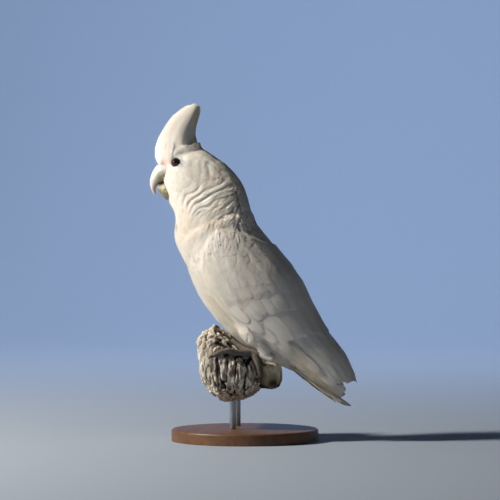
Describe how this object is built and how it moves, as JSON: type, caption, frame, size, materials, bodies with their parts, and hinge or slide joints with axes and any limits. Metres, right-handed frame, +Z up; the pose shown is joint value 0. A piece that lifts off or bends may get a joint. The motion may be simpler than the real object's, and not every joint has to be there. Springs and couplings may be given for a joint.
{
  "type": "little corella cockatoo model on a perch",
  "caption": "Life-size white cockatoo with raised crest, gripping a cut branch held above a round base by short rods.",
  "frame": {"origin": "centre of the round base's underside", "axes": "+Z up; the bird faces -X; its left side is towards -Y; the XZ plane is its middle plane"},
  "size_m": [0.2546, 0.184, 0.422],
  "materials": {
    "plumage": "soft white contour feathers",
    "flight_feathers": "stiff white vanes, faintly yellow below",
    "bill_horn": "worn bone-grey keratin, half gloss",
    "tongue_skin": "dark moist skin",
    "eye": "wet, glossy dark brown",
    "foot_skin": "grey-brown scaled skin",
    "claw_horn": "dark half-gloss keratin",
    "bark": "weathered, deeply fissured grey-brown bark",
    "bare_wood": "smooth weathered wood, stripped of bark",
    "stand_wood": "dark stained, satin varnish",
    "stand_steel": "satin ground steel rod"
  },
  "bodies": {
    "root": {"head": "plumage", "crest": "flight_feathers", "bill_upper": "bill_horn", "bill_lower": "bill_horn", "tongue": "tongue_skin", "neck": "plumage", "trunk": "plumage", "tail": "flight_feathers", "wing_left": "plumage", "wing_tip_left": "flight_feathers", "eye_left": "eye", "thigh_left": "plumage", "claw_left_inner": "claw_horn", "claw_left_outer": "claw_horn", "claw_left_hind_inner": "claw_horn", "claw_left_hind_outer": "claw_horn", "leg_left": "foot_skin", "wing_right": "plumage", "wing_tip_right": "flight_feathers", "eye_right": "eye", "thigh_right": "plumage", "claw_right_inner": "claw_horn", "claw_right_outer": "claw_horn", "claw_right_hind_inner": "claw_horn", "claw_right_hind_outer": "claw_horn", "leg_right": "foot_skin", "perch": "bark", "perch_stub": "bare_wood", "stand_base": "stand_wood", "stand_rod_front": "stand_steel", "stand_rod_rear": "stand_steel"}
  },
  "joints": []
}
